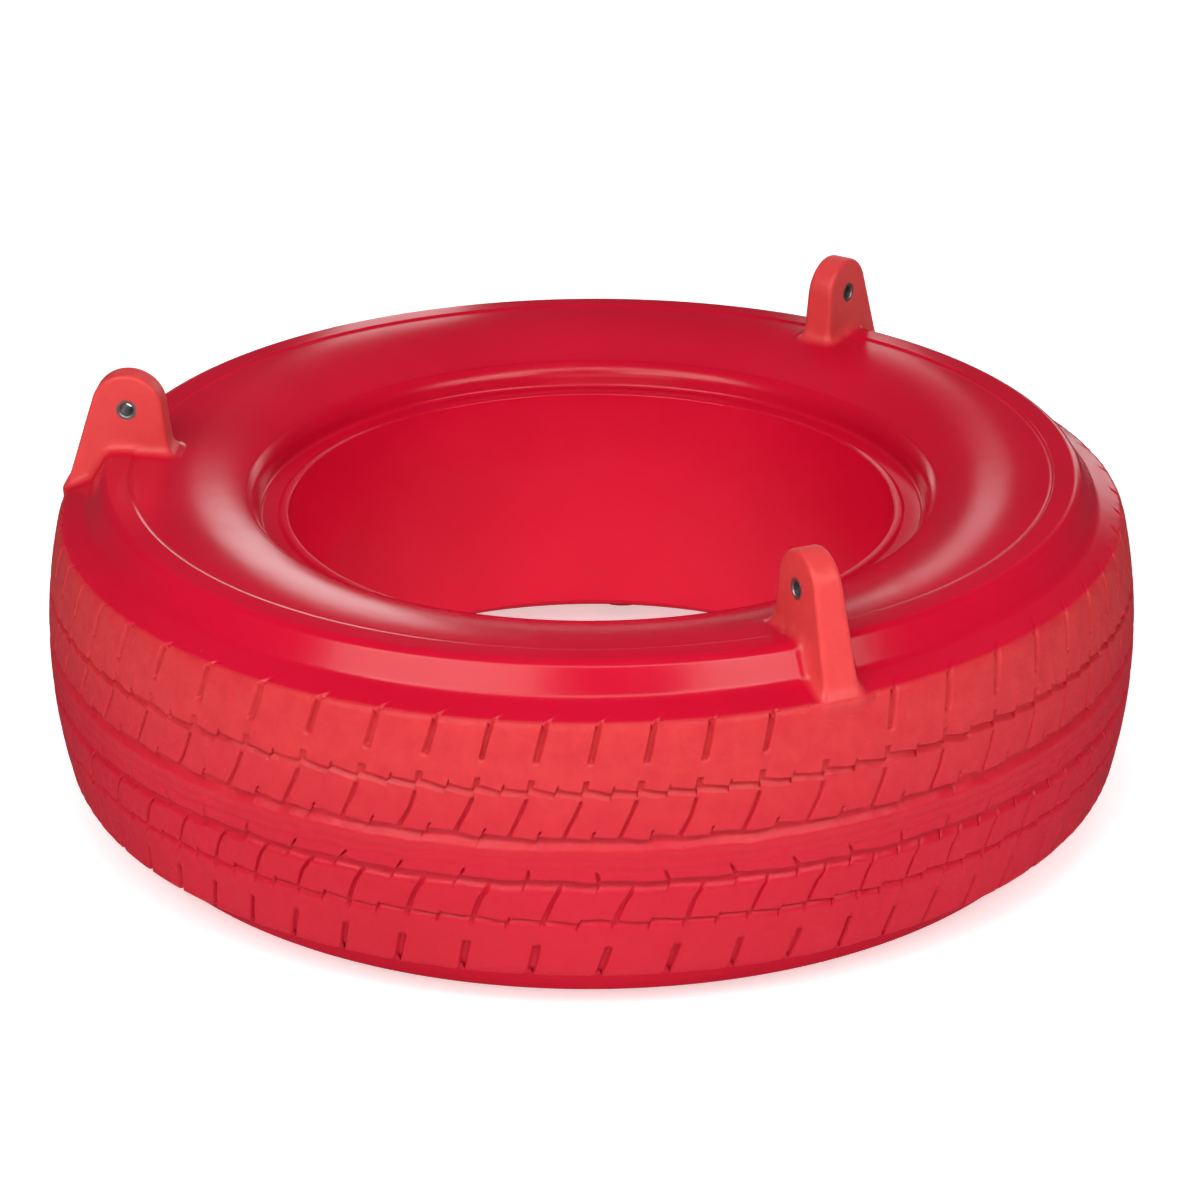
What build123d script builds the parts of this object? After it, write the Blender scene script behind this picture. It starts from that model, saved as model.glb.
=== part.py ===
from build123d import *
import math
import os

# Moulded tyre swing seat: one closed hollow shell in the shape of a car tyre lying
# flat, with three upright hanging lugs moulded into its upper side. A turned steel
# bush is moulded into each lug for a shackle pin, and a push-in plug closes the
# moulding vent on the underside.
# Frame: millimetres, +Z up, origin on the tyre's axis in the plane it rests on.

# Overall size of the tyre
OUTER_RADIUS = 330.0
BORE_RADIUS = 183.0
TYRE_HEIGHT = 202.0
WALL = 6.0

# Tread, measured from the crown inwards and from the resting planes
TREAD_EDGE_DROP = 9.2
SHOULDER_HEIGHT = 25.0
TREAD_DEPTH = 3.5
GROOVE_WIDTH = 4.0
GROOVE_HEIGHTS = (38.5, 9.0, -17.0, -40.5)
TREAD_EDGE_ROUND = 2.5

# Shoulder slots of the tread. Their pitches bunch and spread in waves round the tyre,
# as on a road tyre, and the lower side's waves run against the upper side's
PITCH_COUNT = 60
PITCH_WAVES = 5
PITCH_SWING = 1.7
PITCH_PHASE = 96.0
PITCH_START = -0.5
SLOT_WIDTH = 2.6
SLOT_LENGTH = 20.0
LUG_PATCH_ANGLE = 4.5

# Shoulder ledge, chamfer band and raised flat rim, each measured from its neighbour
LEDGE_WIDTH = 17.3
LEDGE_RISE = 7.5
LEDGE_ROUND = 10.0
CHAMFER_WIDTH = 9.0
RIM_CORNER_DROP = 2.5
RIM_CORNER_WIDTH = 3.5
RIM_CORNER_ROUND = 6.0
RIM_WIDTH = 13.0
RIM_STEP = 1.1

# Sidewall and bead, measured from the bore and from the resting planes
SIDEWALL_CROWN = 3.8
BEAD_ROLL_DROP = 16.0
BEAD_ROLL_WIDTH = 20.5
BEAD_ROLL_ROUND = 14.0
BEAD_STEP_SLOPE = 2.5
VALLEY_DROP = 29.5
VALLEY_ROUND = 3.0
RIDGE_HEIGHT = 2.0
RIDGE_WIDTH = 4.5
RIDGE_ROUND = 1.2

# Hanging lugs
LUG_ANGLES = (180.0, 60.0, -60.0)
LUG_HOLE_INSET = 49.0
LUG_HOLE_HEIGHT = 26.5
LUG_HEAD_RADIUS = 22.0
LUG_TOE_LENGTH = 28.0
LUG_TOP_THICKNESS = 16.5
LUG_BASE_THICKNESS = 21.5
LUG_EDGE_ROUND = 2.5

# Steel bushes, each locked in its lug by two grooves that the plastic fills
BUSH_OUTER_RADIUS = 6.25
BUSH_BORE_RADIUS = 4.25
BUSH_CHAMFER = 0.6
LOCK_GROOVE_DEPTH = 1.0
LOCK_GROOVE_WIDTH = 2.0
LOCK_GROOVE_OFFSET = 4.0

# Vent plug, pushed into the lower sidewall
PLUG_DISTANCE = 230.0
PLUG_ANGLE = 90.0
PLUG_HOLE_RADIUS = 6.0
PLUG_HEAD_RADIUS = 10.0
PLUG_HEAD_THICKNESS = 2.2
PLUG_HEAD_ROUND = 0.8
PLUG_SEAT_DEPTH = 0.6
PLUG_SEAT_CLEARANCE = 1.0
PLUG_SNAP_HEIGHT = 0.9
PLUG_SNAP_LENGTH = 5.0
PLUG_SNAP_GAP = 0.4
PLUG_BLIND_RADIUS = 3.6
PLUG_BLIND_FLOOR = 2.0
PLUG_DRILL_LENGTH = 24.0

# Values worked out from the sizes above; these heights are above the mid plane
HALF = TYRE_HEIGHT / 2
TREAD_EDGE = (OUTER_RADIUS - TREAD_EDGE_DROP, HALF - SHOULDER_HEIGHT)
CHAMFER_FOOT = (TREAD_EDGE[0] - LEDGE_WIDTH, TREAD_EDGE[1] + LEDGE_RISE)
RIM_OUTER = (CHAMFER_FOOT[0] - CHAMFER_WIDTH, HALF - RIM_CORNER_DROP)
RIM_FLAT_OUTER = (RIM_OUTER[0] - RIM_CORNER_WIDTH, HALF)
RIM_FLAT_INNER = (RIM_FLAT_OUTER[0] - RIM_WIDTH, HALF)
SIDEWALL_TOP = (RIM_FLAT_INNER[0] - RIM_STEP, HALF - RIM_STEP)
BEAD_ROLL = (BORE_RADIUS + BEAD_ROLL_WIDTH, HALF - BEAD_ROLL_DROP)
VALLEY = HALF - VALLEY_DROP
VALLEY_OUTER = (BEAD_ROLL[0] - BEAD_STEP_SLOPE, VALLEY)
VALLEY_INNER = (BORE_RADIUS + RIDGE_WIDTH + RIDGE_HEIGHT, VALLEY)
RIDGE_OUTER = (BORE_RADIUS + RIDGE_WIDTH, VALLEY + RIDGE_HEIGHT)
RIDGE_INNER = (BORE_RADIUS, VALLEY + RIDGE_HEIGHT)
LUG_HOLE = (OUTER_RADIUS - LUG_HOLE_INSET, HALF + LUG_HOLE_HEIGHT)
LUG_TOP = LUG_HOLE[1] + LUG_HEAD_RADIUS

# The crown is one arc from tread edge to tread edge
CROWN_RADIUS = (TREAD_EDGE[1] ** 2 + TREAD_EDGE_DROP ** 2) / (2 * TREAD_EDGE_DROP)

# The sidewall is one arc, crowned outwards from the chord between its ends
SIDEWALL_RUN = SIDEWALL_TOP[0] - BEAD_ROLL[0]
SIDEWALL_RISE = SIDEWALL_TOP[1] - BEAD_ROLL[1]
SIDEWALL_CHORD = math.hypot(SIDEWALL_RUN, SIDEWALL_RISE)
SIDEWALL_RADIUS = (SIDEWALL_CHORD ** 2 / 4 + SIDEWALL_CROWN ** 2) / (2 * SIDEWALL_CROWN)


def crown_at(height):
    """Radius of the tread surface at a height above the mid plane."""
    return OUTER_RADIUS - CROWN_RADIUS + math.sqrt(CROWN_RADIUS ** 2 - height ** 2)


def sidewall_point(share, inset=0.0):
    """Point on the sidewall arc and its outward direction, share running from bead to rim."""
    along = (SIDEWALL_RUN / SIDEWALL_CHORD, SIDEWALL_RISE / SIDEWALL_CHORD)
    out = (-along[1], along[0])
    depth = SIDEWALL_RADIUS - SIDEWALL_CROWN
    half_angle = math.asin(SIDEWALL_CHORD / 2 / SIDEWALL_RADIUS)
    turn = (2 * share - 1) * half_angle
    across = SIDEWALL_CHORD / 2 + (SIDEWALL_RADIUS - inset) * math.sin(turn)
    up = (SIDEWALL_RADIUS - inset) * math.cos(turn) - depth
    point = tuple(BEAD_ROLL[i] + along[i] * across + out[i] * up for i in range(2))
    normal = tuple(along[i] * math.sin(turn) + out[i] * math.cos(turn) for i in range(2))
    return point, normal


def mirrored(points):
    """The same points below the mid plane, in reverse order."""
    return [(radius, -height) for radius, height in reversed(points)]


def tyre_outline(bead, rim, crown_radius):
    """Face of the tyre's cross-section in the XZ plane, from its upper bead and rim points."""
    middle, _ = sidewall_point(0.5)
    with BuildSketch(Plane.XZ) as section:
        with BuildLine():
            Polyline(*bead)
            ThreePointArc(bead[-1], middle, rim[0])
            Polyline(*rim)
            ThreePointArc(rim[-1], (crown_radius, 0), (rim[-1][0], -rim[-1][1]))
            Polyline(*mirrored(rim))
            ThreePointArc((rim[0][0], -rim[0][1]), (middle[0], -middle[1]), (bead[-1][0], -bead[-1][1]))
            Polyline(*mirrored(bead))
            Line((bead[0][0], -bead[0][1]), bead[0])
        make_face()
    return section.sketch


def round_corners(sketch, corner, radius):
    """Round one section corner and its mirror image below the mid plane."""
    for height in (corner[1], -corner[1]):
        place = Vector(corner[0], 0, height)
        vertex = sketch.vertices().sort_by(lambda v: (v.center() - place).length)[0]
        sketch = fillet(vertex, radius)
    return sketch


def outer_form():
    """Solid ring with the outside shape of the tyre and its running grooves."""
    bead = [RIDGE_INNER, RIDGE_OUTER, VALLEY_INNER, VALLEY_OUTER, BEAD_ROLL]
    rim = [SIDEWALL_TOP, RIM_FLAT_INNER, RIM_FLAT_OUTER, RIM_OUTER, CHAMFER_FOOT, TREAD_EDGE]
    section = tyre_outline(bead, rim, OUTER_RADIUS)
    section = round_corners(section, BEAD_ROLL, BEAD_ROLL_ROUND)
    section = round_corners(section, VALLEY_OUTER, VALLEY_ROUND)
    section = round_corners(section, RIDGE_INNER, RIDGE_ROUND)
    section = round_corners(section, RIDGE_OUTER, RIDGE_ROUND)
    section = round_corners(section, RIM_FLAT_OUTER, RIM_CORNER_ROUND)
    section = round_corners(section, RIM_OUTER, RIM_CORNER_ROUND)
    section = round_corners(section, CHAMFER_FOOT, LEDGE_ROUND)
    section = round_corners(section, TREAD_EDGE, TREAD_EDGE_ROUND)
    for height in GROOVE_HEIGHTS:
        floor_radius = crown_at(height) - TREAD_DEPTH
        groove = Rectangle(2 * TREAD_DEPTH, GROOVE_WIDTH, align=(Align.MIN, Align.CENTER))
        section -= Plane.XZ * Pos(floor_radius, height) * groove
    return revolve(section, Axis.Z)


def cavity():
    """Closed hollow of the tyre, one wall thickness inside the floor of the tread."""
    bead = [(BORE_RADIUS, VALLEY), VALLEY_OUTER, BEAD_ROLL]
    tread_floor = (TREAD_EDGE[0] - TREAD_DEPTH, TREAD_EDGE[1])
    rim = [SIDEWALL_TOP, (RIM_FLAT_OUTER[0], SIDEWALL_TOP[1]), RIM_OUTER, CHAMFER_FOOT, tread_floor]
    section = tyre_outline(bead, rim, OUTER_RADIUS - TREAD_DEPTH)
    inner = offset(section, amount=-WALL, kind=Kind.INTERSECTION)
    return revolve(inner, Axis.Z)


def pitch_angle(index, side):
    """Angle of one tread pitch on the upper (1) or lower (-1) side of the tyre."""
    even = PITCH_START + index * 360 / PITCH_COUNT
    return even + side * PITCH_SWING * math.sin(math.radians(PITCH_WAVES * even - PITCH_PHASE))


def shoulder_slots(side):
    """Radial slots across one shoulder, leaving a plain patch under each lug."""
    top = TREAD_EDGE[1] + TREAD_DEPTH
    end = TREAD_EDGE[1] - SLOT_LENGTH
    clear = OUTER_RADIUS + TREAD_DEPTH
    outline = [
        (clear, side * top),
        (TREAD_EDGE[0] - TREAD_DEPTH, side * top),
        (TREAD_EDGE[0] - TREAD_DEPTH, side * TREAD_EDGE[1]),
        (crown_at(end) - TREAD_DEPTH, side * end),
        (clear, side * end),
    ]
    slot = extrude(Plane.XZ * Polygon(*outline, align=None), SLOT_WIDTH / 2, both=True)
    slots = []
    for index in range(PITCH_COUNT):
        angle = pitch_angle(index, side)
        gaps = [abs((angle - lug + 180) % 360 - 180) for lug in LUG_ANGLES]
        if side < 0 or min(gaps) > LUG_PATCH_ANGLE:
            slots.append(Rot(0, 0, angle) * slot)
    return slots


def tangent_point(outside, turn):
    """Point where a line from an outside point touches the lug's round head."""
    run = outside[0] - LUG_HOLE[0]
    rise = outside[1] - LUG_HOLE[1]
    lean = math.acos(LUG_HEAD_RADIUS / math.hypot(run, rise))
    angle = math.atan2(rise, run) + turn * lean
    return (
        LUG_HOLE[0] + LUG_HEAD_RADIUS * math.cos(angle),
        LUG_HOLE[1] + LUG_HEAD_RADIUS * math.sin(angle),
    )


def lug_half_thickness(height):
    """Half thickness of a lug, which thins evenly from its base to its top."""
    share = (height - TREAD_EDGE[1]) / (LUG_TOP - TREAD_EDGE[1])
    return (LUG_BASE_THICKNESS + share * (LUG_TOP_THICKNESS - LUG_BASE_THICKNESS)) / 2


def lug_blank():
    """Solid lug standing in the XZ plane, running down into the tyre's wall."""
    root = TREAD_EDGE[1] - WALL
    foot = TREAD_EDGE
    toe = (LUG_HOLE[0] - LUG_TOE_LENGTH, root)
    outer_touch = tangent_point(foot, 1)
    inner_touch = tangent_point(toe, -1)
    crest = (LUG_HOLE[0], LUG_TOP)
    with BuildSketch(Plane.XZ) as side_view:
        with BuildLine():
            Polyline(inner_touch, toe, (foot[0] - WALL, root), foot, outer_touch)
            ThreePointArc(outer_touch, crest, inner_touch)
        make_face()
    root_half = lug_half_thickness(root)
    top_half = lug_half_thickness(LUG_TOP)
    end_view = Plane.YZ * Polygon(
        (-root_half, root), (root_half, root), (top_half, LUG_TOP), (-top_half, LUG_TOP), align=None
    )
    blank = extrude(side_view.sketch, LUG_BASE_THICKNESS, both=True)
    blank &= extrude(end_view, OUTER_RADIUS)
    side_edges = blank.edges().filter_by(lambda e: abs(e.center().Y) > top_half / 2)
    free_edges = side_edges.filter_by(lambda e: e.center().Z > TREAD_EDGE[1])
    return fillet(free_edges, LUG_EDGE_ROUND)


def lock_rings():
    """Two rings of lug plastic that fill the bush's grooves, on the bush's own axis Z."""
    ring = Cylinder(BUSH_OUTER_RADIUS, LOCK_GROOVE_WIDTH)
    ring -= Cylinder(BUSH_OUTER_RADIUS - LOCK_GROOVE_DEPTH, LOCK_GROOVE_WIDTH)
    return [Pos(0, 0, side * LOCK_GROOVE_OFFSET) * ring for side in (-1, 1)]


def bush():
    """Turned steel bush along Z, with a chamfered bore."""
    length = 2 * lug_half_thickness(LUG_HOLE[1])
    body = Cylinder(BUSH_OUTER_RADIUS, length) - Cylinder(BUSH_BORE_RADIUS, length)
    mouths = body.edges().filter_by(GeomType.CIRCLE)
    mouths = mouths.filter_by(lambda e: abs(e.radius - BUSH_BORE_RADIUS) < BUSH_CHAMFER / 2)
    body = chamfer(mouths, BUSH_CHAMFER)
    return body - lock_rings()


def in_lug(shape, angle):
    """Turn a shape made along Z into the hole of the lug at this angle."""
    return Rot(0, 0, angle) * Pos(LUG_HOLE[0], 0, LUG_HOLE[1]) * Rot(90, 0, 0) * shape


def plug_place():
    """Seat of the vent plug on the lower sidewall, its Z pointing out of the tyre."""
    share = (PLUG_DISTANCE - BEAD_ROLL[0]) / SIDEWALL_RUN
    point, normal = sidewall_point(share, PLUG_SEAT_DEPTH)
    seat = Plane(origin=(point[0], 0, -point[1]), z_dir=(normal[0], 0, -normal[1]))
    return Rot(0, 0, PLUG_ANGLE) * Location(seat)


def vent_plug():
    """Push-in plug: domed head outside, hollow stem with a snap ring inside the wall."""
    wall_here = WALL - PLUG_SEAT_DEPTH
    snap_start = wall_here + PLUG_SNAP_GAP
    snap_middle = snap_start + PLUG_SNAP_HEIGHT
    stem_end = snap_start + PLUG_SNAP_LENGTH
    lead_radius = PLUG_HOLE_RADIUS - PLUG_SNAP_HEIGHT
    outline = [
        (0, PLUG_HEAD_THICKNESS),
        (PLUG_HEAD_RADIUS, PLUG_HEAD_THICKNESS),
        (PLUG_HEAD_RADIUS, 0),
        (PLUG_HOLE_RADIUS, 0),
        (PLUG_HOLE_RADIUS, -snap_start),
        (PLUG_HOLE_RADIUS + PLUG_SNAP_HEIGHT, -snap_middle),
        (lead_radius, -stem_end),
        (PLUG_BLIND_RADIUS, -stem_end),
        (PLUG_BLIND_RADIUS, -PLUG_BLIND_FLOOR),
        (0, -PLUG_BLIND_FLOOR),
    ]
    body = revolve(Plane.XZ * Polygon(*outline, align=None), Axis.Z)
    rim = body.edges().filter_by(GeomType.CIRCLE).sort_by(Axis.Z)[-1]
    return fillet(rim, PLUG_HEAD_ROUND)


def tyre_shell():
    """The one-piece moulding: tyre, lugs, bush holes and vent hole, with its closed hollow."""
    shell = outer_form()
    blank = lug_blank()
    shell += [Rot(0, 0, angle) * blank for angle in LUG_ANGLES]
    shell -= shoulder_slots(1)
    shell -= shoulder_slots(-1)
    shell -= cavity()
    bush_hole = Cylinder(BUSH_OUTER_RADIUS, 2 * LUG_BASE_THICKNESS) - lock_rings()
    shell -= [in_lug(bush_hole, angle) for angle in LUG_ANGLES]
    seat = plug_place()
    seat_cut = Cylinder(
        PLUG_HEAD_RADIUS + PLUG_SEAT_CLEARANCE,
        PLUG_HEAD_THICKNESS,
        align=(Align.CENTER, Align.CENTER, Align.MIN),
    )
    shell -= seat * seat_cut
    shell -= seat * Cylinder(PLUG_HOLE_RADIUS, PLUG_DRILL_LENGTH)
    return shell


def write_node(name, shape):
    """Write one node, raised so that the resting plane is at height zero."""
    export_step(Pos(0, 0, HALF) * shape, os.path.join("parts", name + ".step"))


def main():
    os.makedirs("parts", exist_ok=True)
    write_node("tyre_shell", tyre_shell())
    for number, angle in enumerate(LUG_ANGLES, start=1):
        write_node("lug_bush_" + str(number), in_lug(bush(), angle))
    write_node("vent_plug", plug_place() * vent_plug())


main()
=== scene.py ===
import math
import bpy
import numpy as np
from mathutils import Matrix, Vector


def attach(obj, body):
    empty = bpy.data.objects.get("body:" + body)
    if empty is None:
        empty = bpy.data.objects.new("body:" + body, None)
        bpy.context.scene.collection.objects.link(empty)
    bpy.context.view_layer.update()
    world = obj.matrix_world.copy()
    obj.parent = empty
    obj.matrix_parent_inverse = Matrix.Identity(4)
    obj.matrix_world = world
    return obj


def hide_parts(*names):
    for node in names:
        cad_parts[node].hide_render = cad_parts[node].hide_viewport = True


# Looks for the moulded tyre swing seat. Shapes are worked out in millimetres with z
# measured from the tyre's mid plane, as in the part's own source, and are written out
# in metres above the plane that the seat rests on.
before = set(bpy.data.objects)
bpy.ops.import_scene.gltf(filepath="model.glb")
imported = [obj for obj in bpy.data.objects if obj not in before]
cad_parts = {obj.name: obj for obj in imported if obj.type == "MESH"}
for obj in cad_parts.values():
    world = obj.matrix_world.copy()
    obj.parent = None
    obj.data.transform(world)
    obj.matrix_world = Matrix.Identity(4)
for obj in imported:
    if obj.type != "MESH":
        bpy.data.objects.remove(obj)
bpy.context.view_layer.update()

MM = 0.001
HALF = 101.0

# Tyre section, the same sizes as the solid's
OUTER_RADIUS = 330.0
BORE_RADIUS = 183.0
TREAD_EDGE = (320.8, 76.0)
CHAMFER_FOOT = (303.5, 83.5)
RIM_OUTER = (294.5, 98.5)
RIM_FLAT_OUTER = (291.0, 101.0)
RIM_FLAT_INNER = (278.0, 101.0)
SIDEWALL_TOP = (276.9, 99.9)
SIDEWALL_CROWN = 3.8
BEAD_ROLL = (203.5, 85.0)
VALLEY_OUTER = (201.0, 71.5)
VALLEY_INNER = (189.5, 71.5)
RIDGE_OUTER = (187.5, 73.5)
RIDGE_INNER = (183.0, 73.5)
EDGE_DROP = OUTER_RADIUS - TREAD_EDGE[0]
CROWN_RADIUS = (TREAD_EDGE[1] ** 2 + EDGE_DROP ** 2) / (2 * EDGE_DROP)

# Rounds of the section's corners
LEDGE_ROUND = 10.0
RIM_CORNER_ROUND = 6.0
RIM_STEP_ROUND = 0.35
BEAD_ROLL_ROUND = 14.0
VALLEY_OUTER_ROUND = 3.0
VALLEY_INNER_ROUND = 0.8
RIDGE_ROUND = 1.2

# Fineness of the plain surfaces
SECTION_GAP = 5.0
SIDEWALL_STEPS = 14
CROWN_POINTS = 41
LUG_HEAD_POINTS = 60
SMOOTH_COLUMNS = 480
SHARP_ANGLE = math.radians(82)

# Lugs and what is set in them
LUG_ANGLES = (180.0, 60.0, -60.0)
LUG_HOLE = (281.0, 127.5)
LUG_HEAD_RADIUS = 22.0
LUG_TOE = (253.0, 70.0)
LUG_TOP = LUG_HOLE[1] + LUG_HEAD_RADIUS
LUG_TOP_THICKNESS = 16.5
LUG_BASE_THICKNESS = 21.5
LUG_EDGE_ROUND = 2.5
LUG_FOOT_INSET = 8.0
BUSH_RADIUS = 6.25

# How a lug runs into the tyre: the fillet's size, how far its skin reaches out from the
# lug and down into the tyre, and how far that skin lies under the tyre's own
LUG_FILLET = 9.0
LUG_SKIRT = 9.5
LUG_ROOT_DEPTH = 5.5
LUG_SKIRT_SINK = 0.12

# A lug is meshed in this box, in cells of this size, from flat fields that cover more
LUG_BOX = ((232.0, -26.0, 58.0), (331.0, 26.0, 156.0))
LUG_CELL = 1.25
FIELD_BOX = ((215, 50), (345, 165))
FIELD_STEP = 0.5

# Where the lug mask is worked out, which makes the lugs duller and paints a lighter red on them as
# painted light, as inner radius, half width and lowest height, and how far it reaches from the
# lug's own surface before it has died away
TINT_BOX = (235, 30, 66)
TINT_REACH = 6

# Vent plug's seat and hole, and how far the cuts run past what they cut
PLUG_DISTANCE = 230.0
PLUG_SEAT_RADIUS = 11.0
PLUG_SEAT_DEPTH = 0.6
PLUG_SEAT_CUT = 4.0
PLUG_HOLE_RADIUS = 6.0
PLUG_HOLE_CUT = 16.0
PLUG_ARC_STEPS = 200
BUSH_HOLE_CUT = 30.0

# Tread pitches, in degrees
PITCH_COUNT = 60
PITCH_WAVES = 5
PITCH_SWING = 1.7
PITCH_PHASE = 96.0
UPPER_START = -1.1
LOWER_START = -0.5

# An upper shoulder slot is left out where its middle comes this near to a lug, and the
# middle lies this far round from the pitch's own angle, both in degrees
LUG_PATCH_ANGLE = 4.5
SLOT_MIDDLE_LEAN = 0.6

# Unevenness of the moulded tread: how many waves make it up, how many crests each has
# round the tyre, and how steeply they slant, in radians per mm across
SEED = 7
LUMP_WAVES = 14
LUMP_CRESTS = (18, 110)
LUMP_SLANT = 0.16

# How much it turns places round the tyre (degrees), shifts them across the tread (mm)
# and sinks the ledges (mm), and how far a pitch's cuts differ from their full depth
LUMP_TURN = 0.26
LUMP_SHIFT = 1.6
LUMP_DEPTH = 0.8
DEPTH_SPREAD = (0.86, 1.1)

# Roundness of the tread's edges
EDGE_WEAR_DEPTH = 0.7
EDGE_WEAR_WIDTH = 1.6


# ---------------------------------------------------------------- section of the tyre
def rounded(corners, steps=8):
    """Polyline through (r, z, radius) corners, with each corner rounded to its radius."""
    line = []
    for index, (r, z, radius) in enumerate(corners):
        here = np.array((r, z))
        if radius == 0 or index in (0, len(corners) - 1):
            line.append(here)
            continue
        back = np.array(corners[index - 1][:2]) - here
        ahead = np.array(corners[index + 1][:2]) - here
        back /= np.linalg.norm(back)
        ahead /= np.linalg.norm(ahead)
        half = math.acos(np.clip(back @ ahead, -1, 1)) / 2
        reach = radius / math.tan(half)
        middle = (back + ahead) / np.linalg.norm(back + ahead) * radius / math.sin(half) + here
        first = here + back * reach - middle
        last = here + ahead * reach - middle
        a0 = math.atan2(first[1], first[0])
        turn = (math.atan2(last[1], last[0]) - a0 + math.pi) % (2 * math.pi) - math.pi
        for step in range(steps + 1):
            a = a0 + turn * step / steps
            line.append(middle + radius * np.array((math.cos(a), math.sin(a))))
    return line


def spaced(line, gap):
    """The same polyline with extra points, so that no run is longer than the gap."""
    out = [line[0]]
    for here in line[1:]:
        run = np.linalg.norm(here - out[-1])
        count = max(1, math.ceil(run / gap))
        start = out[-1]
        out += [start + (here - start) * step / count for step in range(1, count + 1)]
    return out


def sidewall_arc(count):
    """(r, z, 0) points on the crowned sidewall, from its top down to the bead roll."""
    top, end = np.array(SIDEWALL_TOP), np.array(BEAD_ROLL)
    chord = np.linalg.norm(end - top)
    along = (end - top) / chord
    out = np.array((along[1], -along[0]))
    radius = (chord ** 2 / 4 + SIDEWALL_CROWN ** 2) / (2 * SIDEWALL_CROWN)
    points = []
    for step in range(count + 1):
        x = (step / count - 0.5) * chord
        y = math.sqrt(radius ** 2 - x ** 2) - radius + SIDEWALL_CROWN
        point = top + along * (x + chord / 2) + out * y
        points.append((point[0], point[1], 0.0))
    return points


def side_profile(start):
    """Rounded profile of the upper side from a point on the ledge to the middle of the bore."""
    corners = [
        (start[0], start[1], 0.0),
        (*CHAMFER_FOOT, LEDGE_ROUND),
        (*RIM_OUTER, RIM_CORNER_ROUND),
        (*RIM_FLAT_OUTER, RIM_CORNER_ROUND),
        (*RIM_FLAT_INNER, RIM_STEP_ROUND),
        *sidewall_arc(SIDEWALL_STEPS)[:-1],
        (*BEAD_ROLL, BEAD_ROLL_ROUND),
        (*VALLEY_OUTER, VALLEY_OUTER_ROUND),
        (*VALLEY_INNER, VALLEY_INNER_ROUND),
        (*RIDGE_OUTER, RIDGE_ROUND),
        (*RIDGE_INNER, RIDGE_ROUND),
        (BORE_RADIUS, 0.0, 0.0),
    ]
    return spaced(rounded(corners), SECTION_GAP)


def crown_at(z):
    """Radius of the crowned tread at a height."""
    return OUTER_RADIUS - CROWN_RADIUS + np.sqrt(CROWN_RADIUS ** 2 - z ** 2)


# ---------------------------------------------------------------- tread
# A place across the tread is v: z on the tread itself, and past an edge the distance
# along the ledge is added. A place round it is u, counted in pitches.
EDGE = TREAD_EDGE[1]
LEDGE = np.array(CHAMFER_FOOT) - np.array(TREAD_EDGE)
LEDGE_LENGTH = np.linalg.norm(LEDGE)
LEDGE_END = EDGE + 15.0

# How far the slots lean, as (v, degrees). Between the nearest ends of the two tables the
# upper side's pitches give way to the lower side's.
UPPER_LEAN = (
    (13, -2.05), (25, -1.0), (33, -0.45), (43, 0.0), (55, 0.45), (76, 1.3), (86, 3.0), (92, 3.2),
)
LOWER_LEAN = (
    (-92, -1.9), (-86, -1.7), (-73, -0.45), (-57, 0.3), (-40, 1.0), (-27, 1.8), (-17, 2.9),
)
GIVES_WAY = (LOWER_LEAN[-1][0], UPPER_LEAN[0][0])

# Mesh columns beside each slot and notch, in pitches, and mesh rows at each edge in v
ACROSS = (0, 0.014, 0.026, 0.046, 0.066, 0.085, 0.12, 0.18, 0.25, 0.32, 0.39, 0.44, 0.468, 0.485)
ROW_EDGES = (
    88, 84, 80, 79, 78, 77, 76.5, 76, 75.5, 74.8, 57, 56.2, 55.4, 54.6, 46.4, 45.8, 44.6,
    43.6, 42.6, 41, 40.4, 39.5, 38.5, 37.4, 36.4, 35.4, 34.5, 33.2, 17, 16, 14, 13, 12.2,
    11.2, 9.5, 7, 4.5, 3.6, 0.4, -0.4, -1.2, -5.4, -6.2, -7, -12.2, -13, -14.2, -15.4,
    -17, -18.8, -20.5, -21.4, -37.4, -38.2, -39.2, -39.8, -41, -42.6, -43.6, -55.4,
    -56.2, -57.2, -74.8, -75.5, -76, -76.5, -77, -78, -79, -80, -84, -88,
)
ROW_GAP = 2.4

# Shapes of a cut across its length: distance in pitches from its middle, and share of
# the full depth there. The slots are wide, the sipes thin, and the notches are ticks.
WIDE = (0.026, 1.0, 0.046, 0.8, 0.066, 0.0)
THIN = (0.014, 1.0, 0.026, 0.7, 0.046, 0.0)
TICK = (0.0, 1.0, 0.015, 0.86, 0.032, 0.0)

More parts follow.
